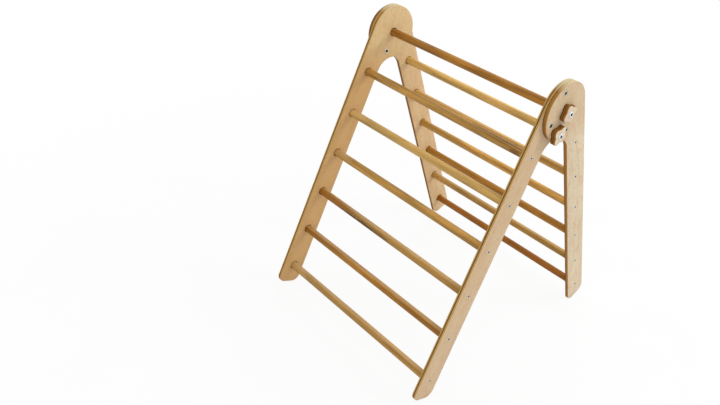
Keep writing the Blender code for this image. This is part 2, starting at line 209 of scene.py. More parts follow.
class TriangleColours(bpy.types.PropertyGroup):
    """Colours of the woods and the metal, in linear values."""

    front_right_leg: tint("Front Right Leg", "Birch of the front right leg", (0.680, 0.515, 0.315))
    front_right_head: tint("Front Right Head", "Birch of the front right head", (0.700, 0.530, 0.335))
    rear_right_leg: tint("Rear Right Leg", "Birch of the rear right leg", (0.760, 0.665, 0.470))
    rear_right_head: tint("Rear Right Head", "Birch of the rear right head", (0.665, 0.530, 0.340))
    # Partly painted shade: this darker, more orange tone is partly the leg's own and partly the shade
    # on its inner face
    front_left_leg: tint("Front Left Leg", "Birch of the front left leg", (0.655, 0.405, 0.150))
    front_left_head: tint("Front Left Head", "Birch of the front left head", (0.735, 0.550, 0.275))
    rear_left_leg: tint("Rear Left Leg", "Birch of the rear left leg", (0.770, 0.560, 0.300))
    rear_left_head: tint("Rear Left Head", "Birch of the rear left head", (0.730, 0.540, 0.310))
    veneer_grain: tint("Veneer Grain", "Darker grain in the birch faces", (0.480, 0.290, 0.130))
    veneer_blush: tint("Veneer Blush", "Pinkish clouds in the birch faces", (0.660, 0.360, 0.210))
    # Partly painted shade: the dark drilled wood also stands for the shadow in the gaps round rungs and
    # screws
    shaded_drilled_wood: tint("Drilled Wood", "Dark wood inside drilled holes", (0.060, 0.026, 0.010))
    ply_pale: tint("Pale Plies", "Outer plies along the front panels' edges", (0.560, 0.330, 0.090))
    ply_brown: tint("Brown Plies", "Outer plies along the rear panels' edges", (0.450, 0.205, 0.038))
    # Painted highlight: the pale cream on the tops of the heads stands in for the light that falls
    # there
    ply_painted_highlight: tint("Sanded Plies", "Plies at the top of the heads, sanded pale", (0.640, 0.550, 0.330))
    ply_core: tint("Core Ply", "Middle ply along the edges", (0.230, 0.105, 0.022))
    ply_dark: tint("Dark Plies", "Plies that show their end grain", (0.018, 0.006, 0.002))
    knob_face: tint("Knob Face", "Birch face of the knobs", (0.800, 0.700, 0.540))
    knob_ply: tint("Knob Plies", "Outer plies along a knob's edge", (0.320, 0.130, 0.015))
    rung_pale: tint("Pale Rung", "Palest rungs", (0.630, 0.387, 0.112))
    rung_golden: tint("Golden Rung", "Golden brown rungs", (0.490, 0.264, 0.060))
    rung_brown: tint("Brown Rung", "Brown rungs", (0.400, 0.172, 0.020))
    rung_dark: tint("Dark Rung", "Darkest rungs", (0.310, 0.107, 0.009))
    # Painted light: the cream on the left ends and along the tops of some rungs stands in for light
    # falling there
    rung_painted_light: tint("Rung Cream", "Pale creamy sides of some rungs", (0.780, 0.530, 0.260))
    rung_streak: tint("Rung Streak", "Dark streaks and knots in the rungs", (0.090, 0.030, 0.004))
    zinc: tint("Zinc", "Bright zinc of the screws, nuts and bolts", (0.820, 0.950, 1.000))
    zinc_worn: tint("Worn Zinc", "Duller clouds in the zinc", (0.560, 0.660, 0.710))
    dull_zinc: tint("Dull Zinc", "Zinc of the bushings", (0.400, 0.460, 0.460))
    # Painted shade: near black inside the recesses and bores, where little light reaches
    recess: tint("Recess", "Dark inside of the recesses and bores", (0.002, 0.003, 0.004))
    floor: tint("Floor", "Pale floor", (0.850, 0.850, 0.850))
    floor_cloud: tint("Floor Clouds", "Slightly darker clouds in the floor", (0.780, 0.780, 0.780))


class TriangleStage(bpy.types.PropertyGroup):
    """The camera, the lamps and the floor."""

    camera_place: place_property("Camera Place", "Where the camera stands", (1.1604, -1.4504, 1.5387))
    camera_turn: bpy.props.FloatVectorProperty(
        name="Camera Turn", description="How the camera is turned",
        default=tuple(math.radians(angle) for angle in (58.5527, -7.2363, 44.4328)),
        subtype="EULER", unit="ROTATION", size=3,
    )
    focal_length: bpy.props.FloatProperty(
        name="Focal Length", description="Focal length of the camera", default=33.228, unit="CAMERA"
    )
    camera_shift: bpy.props.FloatVectorProperty(
        name="Camera Shift", description="Shift of the picture across and up",
        default=(-0.1046, -0.0209), size=2,
    )
    floor_size: length("Floor Size", "Width of the floor", 40.0)
    floor_white_share: bpy.props.FloatProperty(
        name="Floor White", description="How much of the floor's look near the triangle is plain white",
        default=0.90, subtype="FACTOR", min=0.0, max=1.0,
    )
    floor_near: length("Near Floor", "How far out the floor begins to turn white", 0.7)
    floor_far: length("Far Floor", "How far out the floor is all white", 2.2)
    sky_strength: bpy.props.FloatProperty(
        name="Sky Strength", description="Light of the white surroundings", default=0.64, min=0.0
    )
    lamp_target: place_property("Lamp Target", "Where the lamps are aimed", (0.0, 0.0, 0.45))
    key_place: place_property("Key Place", "Where the key lamp hangs", (2.6, 3.2, 3.6))
    key_size: length("Key Size", "Width of the key lamp", 2.4)
    key_power: power_property("Key Power", "Power of the big lamp behind, to the right", 105.0)
    fill_place: place_property("Fill Place", "Where the fill lamp hangs", (1.6, -3.0, 2.2))
    fill_size: length("Fill Size", "Width of the fill lamp", 2.0)
    fill_power: power_property("Fill Power", "Power of the soft lamp in front", 19.0)
    rim_place: place_property("Rim Place", "Where the rim lamp hangs", (-1.5, 3.1, 2.3))
    rim_size: length("Rim Size", "Width of the rim lamp", 1.5)
    rim_power: power_property("Rim Power", "Power of the lamp behind that lights the upper rims", 15.0)
    top_place: place_property("Top Place", "Where the top lamp hangs", (-0.3, 0.0, 4.0))
    top_size: length("Top Size", "Width of the top lamp", 3.0)
    top_power: power_property("Top Power", "Power of the soft lamp overhead", 30.0)


def sizes():
    """Return the sizes in use."""
    return bpy.context.scene.triangle_sizes


def colours():
    """Return the colours in use."""
    return bpy.context.scene.triangle_colours


def stage():
    """Return the stage's settings."""
    return bpy.context.scene.triangle_stage


# Modelling


def tilt_of(ladder):
    """Return a ladder's lean from the upright, as a turn about X."""
    return ladders[ladder] * sizes().opening_angle / 2


def ladder_matrix(ladder):
    """Return the matrix from a ladder's own upright frame about the pivot to its place."""
    return Matrix.Translation((0.0, pivot.y, pivot.z)) @ Matrix.Rotation(tilt_of(ladder), 4, "X")


def sweep(work, vert, centre, angle, steps):
    """Draw an arc about X onward from a vertex and return the vertex at its end."""
    made = bmesh.ops.spin(
        work, geom=[vert], cent=centre, axis=along_rungs, angle=angle, steps=steps, use_duplicate=False
    )
    return next(item for item in made["geom_last"] if isinstance(item, bmesh.types.BMVert))


def line(work, vert, y, z):
    """Draw a straight edge onward from a vertex and return its other end."""
    end = work.verts.new((vert.co.x, y, z))
    work.edges.new((vert, end))
    return end


def spun(work, profile, x, centre, hand, steps):
    """Add a piece turned about the line along X through a centre.

    The profile lists (radius, height), inner end first. Height 0 lies at x, and heights grow towards
    the outside of that hand. A profile that begins and ends on the axis, or that is a closed ring,
    makes a closed piece.
    """
    verts = [
        work.verts.new((x + hand * height, centre.y, centre.z + radius)) for radius, height in profile
    ]
    edges = [work.edges.new(pair) for pair in zip(verts, verts[1:])]
    if profile[0][0] > 0:
        edges.append(work.edges.new((verts[-1], verts[0])))
    bmesh.ops.spin(
        work, geom=verts + edges, cent=(x, centre.y, centre.z), axis=along_rungs, angle=full_turn,
        steps=steps, use_merge=True, use_duplicate=False,
    )


def close(work):
    """Merge the doubles of a turned piece and point its faces outwards."""
    bmesh.ops.remove_doubles(work, verts=work.verts, dist=weld_distance)
    bmesh.ops.dissolve_degenerate(work, edges=work.edges, dist=weld_distance)
    bmesh.ops.recalc_face_normals(work, faces=work.faces)


def round_edges(work, edges, width, segments):
    """Round some edges."""
    bmesh.ops.bevel(
        work, geom=edges, offset=width, offset_type="OFFSET", segments=segments, profile=0.5,
        affect="EDGES", material=-1, clamp_overlap=True, loop_slide=True,
    )


def rims_at(work, x, centre, radius):
    """Return the edges of a turned piece that run round it at some X and radius."""
    return [
        edge for edge in work.edges
        if all(
            max(abs(vert.co.x - x), abs(off_axis(vert.co, centre) - radius)) < rim_tolerance
            for vert in edge.verts
        )
    ]


def push(work, faces, way):
    """Push faces out of a piece by a way; return the verts and the faces at their end."""
    made = bmesh.ops.extrude_face_region(work, geom=faces)["geom"]
    verts = [item for item in made if isinstance(item, bmesh.types.BMVert)]
    bmesh.ops.translate(work, verts=verts, vec=way)
    return verts, [item for item in made if isinstance(item, bmesh.types.BMFace)]


def number_sides(work, axis):
    """Number the materials of a board, thick along an axis: 0 on its faces, 1 along its edges."""
    for side in work.faces:
        side.material_index = 0 if abs(side.normal[axis]) > face_slope else 1


def round_board(work, axis, width, segments):
    """Number the materials of a board and round the rims between its faces and its edges."""
    bmesh.ops.recalc_face_normals(work, faces=work.faces)
    number_sides(work, axis)
    rims = [edge for edge in work.edges if len({side.material_index for side in edge.link_faces}) > 1]
    round_edges(work, rims, width, segments)
    number_sides(work, axis)


def finished(name, work, materials):
    """Turn a bmesh into an object of the scene with its materials, smooth but for its sharp edges."""
    mesh = bpy.data.meshes.new(name)
    work.to_mesh(mesh)
    work.free()
    for material in materials:
        mesh.materials.append(material)
    mesh.shade_smooth()
    mesh.set_sharp_from_angle(angle=smooth_angle)
    made = bpy.data.objects.new(name, mesh)
    bpy.context.scene.collection.objects.link(made)
    return made


def subtract(piece, work, material_index):
    """Cut a bmesh out of a piece for good; the cut faces take that material of the piece."""
    for face in work.faces:
        face.material_index = material_index
    cutter = finished(piece.name + "_cutter", work, piece.data.materials)
    step = piece.modifiers.new("cut", "BOOLEAN")
    step.operation = "DIFFERENCE"
    step.solver = "EXACT"
    step.object = cutter
    depsgraph = bpy.context.evaluated_depsgraph_get()
    mesh = bpy.data.meshes.new_from_object(piece.evaluated_get(depsgraph))
    piece.modifiers.clear()
    spent = piece.data
    piece.data = mesh
    bpy.data.meshes.remove(spent)
    mesh.name = piece.name
    mesh.shade_smooth()
    mesh.set_sharp_from_angle(angle=smooth_angle)
    spent = cutter.data
    bpy.data.objects.remove(cutter)
    bpy.data.meshes.remove(spent)


def stand_for(piece, node):
    """Let a finished piece stand for a node: the node is hidden and the piece rides on its body."""
    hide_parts(node)
    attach(piece, body_of[node])


# Materials


def new_material(name):
    """Return a new node material and its tree, with the shader made and joined to the output."""
    material = bpy.data.materials.new(name)
    material.use_nodes = True
    return material, material.node_tree, material.node_tree.nodes["Principled BSDF"]


def node(tree, kind, inputs=None, **settings):
    """Add a node, set its own settings, and link or set its inputs by name or number."""
    made = tree.nodes.new(kind)
    for name, value in settings.items():
        setattr(made, name, value)
    for name, value in (inputs or {}).items():
        feed(tree, made.inputs[name], value)
    return made


def feed(tree, socket, value):
    """Link a socket to another node's output, or set its value."""
    if isinstance(value, bpy.types.NodeSocket):
        tree.links.new(value, socket)
    elif socket.type == "RGBA" and len(value) == 3:
        socket.default_value = (*value, 1.0)
    else:
        socket.default_value = value


def place_in_frame(tree):
    """Return the coordinates of the frame."""
    return node(tree, "ShaderNodeTexCoord").outputs["Object"]


def local_place(tree, ladder, centre):
    """Return the coordinates of a pattern that leans with a ladder, about a centre."""
    place = place_in_frame(tree)
    turn = (tilt_of(ladder), 0.0, 0.0)
    upright = node(
        tree, "ShaderNodeMapping", {"Vector": place, "Location": centre, "Rotation": turn},
        vector_type="TEXTURE",
    )
    return upright.outputs["Vector"]


def shifted(tree, place, shift):
    """Return coordinates moved by a shift."""
    return node(tree, "ShaderNodeMapping", {"Vector": place, "Location": shift}).outputs["Vector"]


def part(tree, place, axis):
    """Return one coordinate of a place."""
    return node(tree, "ShaderNodeSeparateXYZ", {"Vector": place}).outputs[axis]


def noise(tree, place, grain, detail=3.0, roughness=0.6, bend=0.0):
    """Return the value of a noise; its grain says how often it changes in a metre along X, Y and Z."""
    stretched = node(tree, "ShaderNodeMapping", {"Vector": place, "Scale": grain}).outputs["Vector"]
    inputs = {"Scale": 1.0, "Detail": detail, "Roughness": roughness, "Distortion": bend}
    return node(tree, "ShaderNodeTexNoise", {"Vector": stretched, **inputs}).outputs["Fac"]


def remap(tree, value, low, high, to_low=0.0, to_high=1.0):
    """Return a value moved from one range to another and held inside it."""
    return node(
        tree, "ShaderNodeMapRange",
        {"Value": value, "From Min": low, "From Max": high, "To Min": to_low, "To Max": to_high},
    ).outputs["Result"]


def math_of(tree, operation, first, second=0.0, third=0.0):
    """Return the result of a sum on values."""
    return node(tree, "ShaderNodeMath", {0: first, 1: second, 2: third}, operation=operation).outputs[0]


def mixed(tree, share, first, second):
    """Return two colours mixed by a share."""
    return node(tree, "ShaderNodeMix", {0: share, 6: first, 7: second}, data_type="RGBA").outputs[2]


def layered(tree, place, layer, tone, other):
    """Return a tone with a layer of another tone over it, and the value of the layer's noise."""
    value = noise(tree, place, layer.grain, layer.detail, layer.roughness, layer.bend)
    share = remap(tree, value, layer.low, layer.high, 0.0, layer.share)
    return mixed(tree, share, tone, other), value


def dress(tree, shader, tone, roughness, specular):
    """Give a shader its tone, its roughness and its shine."""
    feed(tree, shader.inputs["Base Color"], tone)
    feed(tree, shader.inputs["Roughness"], roughness)
    shader.inputs["Specular IOR Level"].default_value = specular


def bumped(tree, shader, height, strength, distance):
    """Raise a shader's surface by a height."""
    made = node(tree, "ShaderNodeBump", {"Height": height, "Strength": strength, "Distance": distance})
    tree.links.new(made.outputs["Normal"], shader.inputs["Normal"])


# A layer of a material is a noise, with its grain (along X, Y and Z), detail, roughness and bend,
# the values between which it grows, and the share that it reaches
Layer = namedtuple("Layer", "grain detail roughness bend low high share")
birch_clouds = Layer((1.0, 16.0, 4.0), 3.0, 0.55, 0.0, 0.35, 0.72, 0.22)
birch_blush = Layer((1.0, 60.0, 24.0), 4.0, 0.60, 0.8, 0.46, 0.68, 0.50)
birch_figure = Layer((1.0, 70.0, 7.0), 5.0, 0.60, 1.2, 0.50, 0.74, 0.30)
birch_mottle = Layer((160.0, 240.0, 110.0), 3.0, 0.65, 0.0, 0.45, 0.70, 0.46)
birch_fibres = Layer((30.0, 900.0, 24.0), 3.0, 0.60, 0.0, 0.52, 0.78, 0.26)
birch_flecks = Layer((60.0, 420.0, 90.0), 2.0, 0.50, 0.0, 0.68, 0.78, 0.40)
edge_pores = Layer((900.0, 1600.0, 1600.0), 2.0, 0.60, 0.0, 0.35, 0.70, 0.25)
edge_fibres = Layer((2200.0, 60.0, 60.0), 3.0, 0.60, 0.0, 0.42, 0.75, 0.35)
edge_streaks = Layer((160.0, 40.0, 40.0), 3.0, 0.60, 0.0, 0.48, 0.72, 0.30)
torn_fibres = Layer((900.0, 900.0, 900.0), 3.0, 0.60, 0.0, 0.40, 0.75, 0.50)
rung_bands = Layer((4.0, 50.0, 50.0), 4.0, 0.55, 0.6, 0.38, 0.64, 1.00)
rung_fibres = Layer((40.0, 1300.0, 1300.0), 3.0, 0.60, 0.0, 0.42, 0.72, 0.30)
rung_streaks = Layer((5.0, 150.0, 150.0), 4.0, 0.60, 0.8, 0.50, 0.62, 1.00)
zinc_clouds = Layer((260.0, 260.0, 260.0), 3.0, 0.60, 0.0, 0.30, 0.70, 0.20)
grease = Layer((700.0, 700.0, 700.0), 3.0, 0.60, 0.0, 0.50, 0.80, 0.06)
floor_clouds = Layer((3.0, 3.0, 3.0), 3.0, 0.50, 0.0, 0.30, 0.70, 1.00)

# The span in which nearly all values of a noise lie
noise_span = (0.3, 0.8)

# How far below the pivot a panel's head tone ends and its leg tone begins, in radii of the head
head_tone_end = 0.5
leg_tone_start = 1.7

# How far a seed moves a pattern along X, Y and Z
seed_shift = (1.0, 0.7, 1.3)


def birch_face(name, ladder, centre, head_tone, leg_tone, seed):
    """Return the material of a sanded birch face: long soft grain, pinkish clouds and small flecks.

    The tone changes softly from the head's to the leg's below it.
    """
    colour = colours()
    radius = sizes().head_radius
    material, tree, shader = new_material(name)
    place = local_place(tree, ladder, centre)
    below = remap(tree, part(tree, place, "Z"), -radius * head_tone_end, -radius * leg_tone_start)
    moved = shifted(tree, place, tuple(seed * share for share in seed_shift))
    tone = mixed(tree, below, head_tone, leg_tone)
    tone, _ = layered(tree, moved, birch_clouds, tone, colour.veneer_grain)
    tone, _ = layered(tree, moved, birch_blush, tone, colour.veneer_blush)
    tone, figure = layered(tree, moved, birch_figure, tone, colour.veneer_grain)
    tone, _ = layered(tree, moved, birch_mottle, tone, colour.veneer_grain)
    tone, fibres = layered(tree, moved, birch_fibres, tone, colour.veneer_grain)
    tone, _ = layered(tree, moved, birch_flecks, tone, colour.veneer_grain)
    dress(tree, shader, tone, roughness=remap(tree, figure, *noise_span, 0.48, 0.62), specular=0.30)
    bumped(tree, shader, math_of(tree, "ADD", fibres, figure), strength=0.25, distance=0.00025)
    return material


# Places across a sheet are shares of its thickness, from -0.5 to 0.5. A rim says where something
# begins to show and where it shows in full. The relief is how far the core ply sinks
ply_count = 9.0
ply_waver = 0.06
core_middle = 0.01
core_rim = (0.130, 0.100)
core_relief = 0.6
glue_rim = (0.38, 0.46)
glue_share = 0.30
scorch_and_shade_rim = (-0.270, -0.300)

# The same for the painted highlight on the tops of the heads, in heights above the pivot
head_highlight_rim = (0.066, 0.084)
head_highlight_share = 0.75

# How strongly the dark core ply and the darkened -X side, partly saw scorch and partly painted shade,
# show along the edges of a piece
EdgeLook = namedtuple("EdgeLook", "core scorch")
edge_looks = {
    "front_panel_left": EdgeLook(core=1.00, scorch=0.00),
    "front_panel_right": EdgeLook(core=1.00, scorch=0.00),
    "rear_panel_left": EdgeLook(core=1.00, scorch=1.00),
    "rear_panel_right": EdgeLook(core=0.35, scorch=1.00),
}
knob_edge = EdgeLook(core=0.60, scorch=0.95)


def sheet_edge(name, ladder, centre, thickness, outer_ply, look):
    """Return the material of a cut plywood edge: outer plies about a dark core, and glue lines.

    The sheets were cut lying on the face that looks to -X, and that side is darkened: partly saw
    scorch, partly painted shade in the gaps between touching pieces.
    The tops of the heads are mixed towards a pale cream: a painted highlight where the light falls on
    them.
    """
    colour = colours()
    material, tree, shader = new_material(name)
    place = local_place(tree, ladder, centre)
    waver = noise(tree, place, (1.0, 12.0, 12.0), roughness=0.5)
    across = math_of(tree, "MULTIPLY_ADD", waver, thickness * ply_waver, part(tree, place, "X"))
    across = math_of(tree, "DIVIDE", across, thickness)
    from_core = math_of(tree, "ABSOLUTE", math_of(tree, "SUBTRACT", across, core_middle))
    core = remap(tree, from_core, *core_rim)
    in_ply = math_of(tree, "FRACT", math_of(tree, "MULTIPLY", across, ply_count))
    from_middle = math_of(tree, "ABSOLUTE", math_of(tree, "SUBTRACT", in_ply, 0.5))
    glue = remap(tree, from_middle, *glue_rim, 0.0, glue_share)
    # Darkened -X side: partly saw scorch, partly painted shade in the gaps between touching pieces
    scorch = remap(tree, across, *scorch_and_shade_rim, 0.0, look.scorch)
    # Painted highlight on the tops of the heads
    head_top_highlight = remap(
        tree, part(tree, place_in_frame(tree), "Z"), *(pivot.z + rise for rise in head_highlight_rim),
        0.0, head_highlight_share,
    )
    dark, pores = layered(tree, place, edge_pores, colour.ply_dark, colour.ply_core)
    tone, _ = layered(tree, place, edge_fibres, outer_ply, colour.ply_core)
    tone = mixed(tree, math_of(tree, "MULTIPLY", core, look.core), tone, dark)
    tone = mixed(tree, glue, tone, colour.ply_dark)
    tone, _ = layered(tree, place, edge_streaks, tone, colour.ply_core)
    tone = mixed(tree, scorch, tone, colour.ply_dark)
    tone = mixed(tree, head_top_highlight, tone, colour.ply_painted_highlight)
    dress(tree, shader, tone, roughness=0.60, specular=0.12)
    height = math_of(tree, "SUBTRACT", pores, math_of(tree, "MULTIPLY", core, core_relief))
    bumped(tree, shader, height, strength=0.35, distance=0.0003)
    return material


def shaded_hole_wood(name):
    """Return the material of drilled and countersunk wood: rough and torn round the hole, and dark,
    partly as drilled end grain is and partly as painted shade in the gaps round the rungs and screws.
    """
    material, tree, shader = new_material(name)
    tone, torn = layered(
        tree, place_in_frame(tree), torn_fibres, colours().shaded_drilled_wood, colours().ply_core
    )
    dress(tree, shader, tone, roughness=0.85, specular=0.10)
    bumped(tree, shader, torn, strength=0.4, distance=0.0003)
    return material


# A mark's rim wanders along X and fades there, both in shares of its reach. It also wanders round
# the rung, in shares of the radius
ragged_along = 0.7
fade_start = 0.8
fade_end = 1.4
ragged_round = 0.5


def mark_of(tree, place, mark, radius):
    """Return how strongly a mark shows on a rung: it has a middle, a reach and a side it faces."""
    ragged = noise(tree, place, (14.0, 160.0, 160.0))
    offset = math_of(tree, "ABSOLUTE", math_of(tree, "SUBTRACT", part(tree, place, "X"), mark.x))
    offset = math_of(tree, "MULTIPLY_ADD", ragged, mark.reach * ragged_along, offset)
    near = remap(tree, offset, mark.reach * fade_end, mark.reach * fade_start)
    side = Vector((0.0, mark.y, mark.z)).normalized() / radius
    facing = node(tree, "ShaderNodeVectorMath", {0: place, 1: side}, operation="DOT_PRODUCT")
    facing = math_of(tree, "MULTIPLY_ADD", ragged, ragged_round, facing.outputs["Value"])
    return math_of(tree, "MULTIPLY", near, remap(tree, facing, mark.rim, mark.rim + mark.softness))


# The light and the dark bands of a rung's grain, against its own tone
rung_lighter = 1.24
rung_darker = 0.68


def rung_wood(name, centre, radius, look, seed):
    """Return the material of an oiled rung: grain along X, dark streaks and a satin gloss."""
    colour = colours()
    material, tree, shader = new_material(name)
    own = shifted(tree, place_in_frame(tree), (0.0, -centre.y, -centre.z))
    moved = shifted(tree, own, (seed, 0.0, 0.0))
    own_tone = Vector(getattr(colour, look.tone)) * look.shade
    darker = own_tone * rung_darker
    own_streaks = rung_streaks._replace(share=look.streaks)
    tone, _ = layered(tree, moved, rung_bands, own_tone * rung_lighter, darker)
    tone, fibres = layered(tree, moved, rung_fibres, tone, darker)
    tone, streaks = layered(tree, moved, own_streaks, tone, colour.rung_streak)
    # The marks hold streaks and knots, and painted light on the ends and tops
    for mark in look.marks:
        strength = math_of(tree, "MULTIPLY", mark_of(tree, own, mark, radius), mark.share)
        tone = mixed(tree, strength, tone, getattr(colour, mark.tone))
    dress(tree, shader, tone, roughness=remap(tree, fibres, *noise_span, 0.34, 0.48), specular=0.20)
    bumped(tree, shader, math_of(tree, "ADD", fibres, streaks), strength=0.22, distance=0.00022)
    return material


def zinc_plate(name, bright):
    """Return the material of zinc plate of some brightness, with duller clouds and fine scratches."""
    material, tree, shader = new_material(name)
    place = place_in_frame(tree)
    tone, clouds = layered(tree, place, zinc_clouds, bright, colours().zinc_worn)
    roughness = remap(tree, clouds, zinc_clouds.low, zinc_clouds.high, 0.14, 0.26)
    scratches = noise(tree, place, (400.0, 2600.0, 400.0), detail=2.0)
    shader.inputs["Metallic"].default_value = 1.0
    dress(tree, shader, tone, roughness, specular=0.50)
    bumped(tree, shader, scratches, strength=0.12, distance=0.00008)
    return material


def painted_recess_shade(name):
    """Return the material of painted shade inside recesses and bores: near black, with traces of
    grease.
    """
    colour = colours()
    material, tree, shader = new_material(name)
    tone, _ = layered(tree, place_in_frame(tree), grease, colour.recess, colour.zinc_worn)
    dress(tree, shader, tone, roughness=0.70, specular=0.05)
    return material


def plated_metal(name, bright):
    """Return the two materials of a metal piece: its zinc plate and the painted shade of its recesses.
    """
    return [zinc_plate(name + "_zinc", bright), painted_recess_shade(name + "_dark")]


# Pieces


def panel_outline(work, x, ladder, steps):
    """Draw a panel's outline in its upright frame, round the head, the arch and the foot."""
    size = sizes()
    side = ladders[ladder]
    inner_line = size.head_radius - size.leg_width
    arch_t = inner_line - size.arch_radius
    arch_s = math.sqrt((size.head_radius + size.arch_radius) ** 2 - arch_t ** 2)
    bearing = math.atan2(-arch_t, arch_s)
    foot_bottom = foot_reach()
    corner = size.foot_corner_radius
    centre_s = foot_bottom - corner
    start = work.verts.new((x, side * size.head_radius, 0.0))
    arch_steps = max(4, round(steps / 4))
    inner_t = inner_line + corner
    outer_t = size.head_radius - corner
    end = sweep(work, start, (x, 0.0, 0.0), side * (math.pi + quarter_turn - bearing), steps)
    end = sweep(work, end, (x, side * arch_t, -arch_s), -side * (quarter_turn - bearing), arch_steps)
    end = line(work, end, side * inner_line, -centre_s)
    end = sweep(work, end, (x, side * inner_t, -centre_s), side * quarter_turn, arch_steps)
    end = line(work, end, side * outer_t, -foot_bottom)
    end = sweep(work, end, (x, side * outer_t, -centre_s), side * quarter_turn, arch_steps)
    work.edges.new((end, start))


def foot_reach():
    """Return how far the feet reach from the pivot along the legs."""
    size = sizes()
    corner = size.foot_corner_radius
    lift = (size.head_radius - size.leg_width + corner) * math.sin(size.opening_angle / 2)
    return (pivot.z - corner + lift) / math.cos(size.opening_angle / 2) + corner


def plain_hole(radius, low, high):
    """Return the profile of a plain round hole between two heights."""
    return [(0.0, low), (radius, low), (radius, high), (0.0, high)]


def panel_holes(ladder, hand_name, x, thickness):
    """Return the cutter of all the sockets and holes of a panel, in place."""
    size = sizes()
    hand = hands[hand_name]
    over = thickness / 4
    outside = thickness + over
    pilot = size.screw_hole_diameter / 2
    bolt = size.bolt_hole_diameter / 2
    work = bmesh.new()
    for node_name in (name for name in frame["nodes"] if name.startswith(ladder + "_rung_")):
        centre = middle(node_name)
        radius = extent(node_name).z / 2 + size.socket_clearance
        mouth = [
            (0.0, -over),
            (radius + size.socket_chamfer + over, -over),
            (radius, size.socket_chamfer),
            (radius, size.socket_depth),
        ]
        number = node_name.rsplit("_", 1)[1]
        screw = ladder + "_screw_" + hand_name + "_" + number
        if screw in frame["nodes"]:
            head = extent(screw).z / 2
            slope = (head - size.screw_shank_diameter / 2) / size.screw_head_depth
            low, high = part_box(screw)
            top = abs(high.x if hand > 0 else low.x) - abs(x)
            hole = [
                (pilot, size.socket_depth),
                (pilot, top - size.screw_head_depth),
                (head + size.screw_seat_gap, top),
                (head + size.screw_seat_gap + slope * over, top + over),
                (0.0, top + over),
            ]
        else:
            hole = [(bolt, size.socket_depth), (bolt, outside), (0.0, outside)]
        spun(work, mouth + hole, x, centre, hand, round_steps)
    sleeve = size.sleeve_diameter / 2 + size.socket_clearance
    if ladder == "front":
        nut = middle("lock_nut_" + hand_name)
        spun(work, plain_hole(sleeve, -over, outside), x, nut, hand, round_steps)
    else:
        spun(work, plain_hole(bolt, -over, outside), x, pivot, hand, round_steps)
        prefix = "lock_bushing_" + hand_name
        for bushing in (name for name in frame["nodes"] if name.startswith(prefix)):
            centre = middle(bushing)
            flange = extent(bushing).z / 2 + size.socket_clearance
            seat = thickness - size.flange_seat_depth
            hole = [
                (0.0, -over), (sleeve, -over), (sleeve, seat), (flange, seat),
                (flange, outside), (0.0, outside),
            ]
            spun(work, hole, x, centre, hand, round_steps)
    close(work)
    return work


def build_panel(ladder, hand_name, seed):
    """Build a side panel: a board with rounded rims, and the holes cut out of it."""
    size = sizes()
    colour = colours()
    name = ladder + "_panel_" + hand_name
    low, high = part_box(name)
    _, inner, _ = ends(low, high)
    thickness = high.x - low.x
    centre = ((low.x + high.x) / 2, pivot.y, pivot.z)
    work = bmesh.new()
    panel_outline(work, low.x, ladder, head_steps)
    bmesh.ops.remove_doubles(work, verts=work.verts, dist=weld_distance)
    face = bmesh.ops.edgeloop_fill(work, edges=work.edges, mat_nr=0)["faces"]
    push(work, face, (thickness, 0.0, 0.0))
    round_board(work, axis=0, width=size.edge_rounding, segments=board_rounding_steps)
    bmesh.ops.transform(work, matrix=ladder_matrix(ladder), verts=work.verts)
    head_tone = getattr(colour, ladder + "_" + hand_name + "_head")
    leg_tone = getattr(colour, ladder + "_" + hand_name + "_leg")
    outer_ply = colour.ply_pale if ladder == "front" else colour.ply_brown
    materials = [
        birch_face(name + "_birch", ladder, centre, head_tone, leg_tone, seed),
        sheet_edge(name + "_plies", ladder, centre, thickness, outer_ply, edge_looks[name]),
        shaded_hole_wood(name + "_holes"),
    ]
    piece = finished(name + "_board", work, materials)
    subtract(piece, panel_holes(ladder, hand_name, inner, thickness), drilled_slot)
    stand_for(piece, name)


class TRIANGLE_OT_panels(bpy.types.Operator):
    """Build the four plywood side panels"""

    bl_idname = "triangle.panels"
    bl_label = "Side Panels"

    def execute(self, context):
        seed = first_sheet_seed
        for ladder in ladders:
            for hand_name in hands:
                build_panel(ladder, hand_name, seed)
                seed += sheet_seed_step
        return {"FINISHED"}


# A mark has a middle and a reach along X, the side it faces (y, z), how far round it begins, the
# softness of that rim, a share and a tone
Mark = namedtuple("Mark", "x reach y z rim softness share tone")
RungLook = namedtuple("RungLook", "tone shade streaks marks")
dark_streak = Mark(
    x=-0.11, reach=0.135, y=-0.99, z=-0.05, rim=1.19, softness=0.03, share=1.00, tone="rung_streak"
)
brown_flank = Mark(
    x=-0.28, reach=0.13, y=-0.90, z=0.45, rim=0.50, softness=0.40, share=0.70, tone="rung_dark"
)
knot_at_end = Mark(
    x=0.288, reach=0.020, y=-1.00, z=0.05, rim=1.08, softness=0.12, share=0.60, tone="rung_streak"
)
knot_on_side = Mark(
    x=0.130, reach=0.020, y=-0.99, z=0.07, rim=1.08, softness=0.12, share=0.55, tone="rung_streak"
)
shade_at_left = Mark(
    x=-0.24, reach=0.16, y=-0.80, z=0.60, rim=-0.60, softness=0.30, share=0.30, tone="rung_streak"
)
